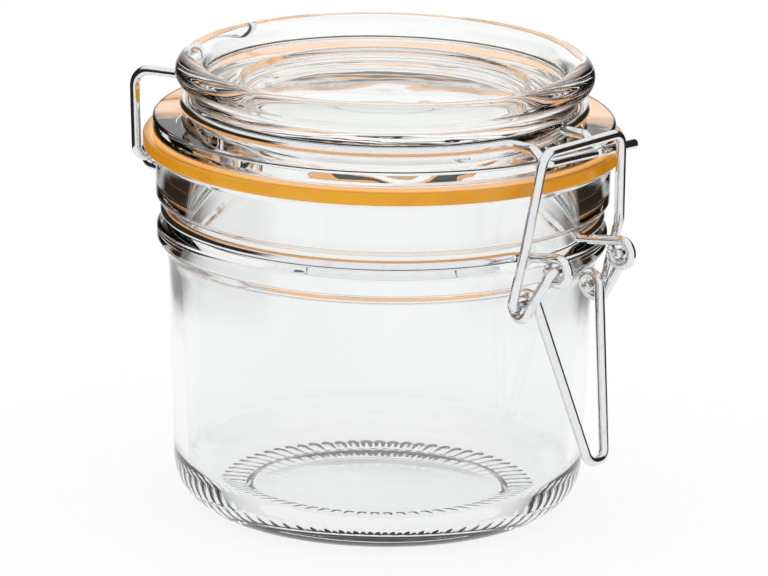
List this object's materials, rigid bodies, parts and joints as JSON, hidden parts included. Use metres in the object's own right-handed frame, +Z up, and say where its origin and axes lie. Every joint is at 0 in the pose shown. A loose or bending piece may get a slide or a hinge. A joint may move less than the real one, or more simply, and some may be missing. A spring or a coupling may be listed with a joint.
{
  "type": "clip-top preserving jar",
  "caption": "Short glass storage jar with a hinged glass lid, a rubber sealing ring and a bent-wire toggle latch.",
  "frame": {"origin": "on the jar's axis, at the level of the ring it stands on", "axes": "+Z up along the jar's axis, -Y towards the lever and bail, +Y towards the hinge, +X to the right seen from the latch side"},
  "size_m": [0.1002, 0.1198, 0.0954],
  "materials": {
    "jar_glass": "clear pressed glass, polished, with a faint grey-green tint",
    "lid_glass": "clear pressed glass, slightly wavy",
    "seal_rubber": "satin orange natural rubber",
    "wire": "bright drawn steel wire"
  },
  "bodies": {
    "jar": {"jar_body": "jar_glass", "neck_wire": "wire"},
    "cover": {"lid": "lid_glass", "gasket": "seal_rubber", "lid_wire": "wire"},
    "lever": {"lever": "wire"},
    "bail": {"bail": "wire"}
  },
  "joints": [
    {"name": "lid_hinge", "type": "hinge", "parent": "jar", "child": "cover", "pos_m": [0, 0.0563, 0.0664], "axis": [-1, 0, 0], "range_deg": [0, 200]},
    {"name": "lever_pivot", "type": "hinge", "parent": "jar", "child": "lever", "pos_m": [0, -0.0555, 0.0621], "axis": [-1, 0, 0], "range_deg": [0, 115]},
    {"name": "bail_pivot", "type": "hinge", "parent": "lever", "child": "bail", "pos_m": [0, -0.0476, 0.0536], "axis": [-1, 0, 0], "range_deg": [-138, 0]}
  ],
  "couplings": [
    {"joint": "bail_pivot", "follows": "lever_pivot", "ratio": -1.2}
  ]
}
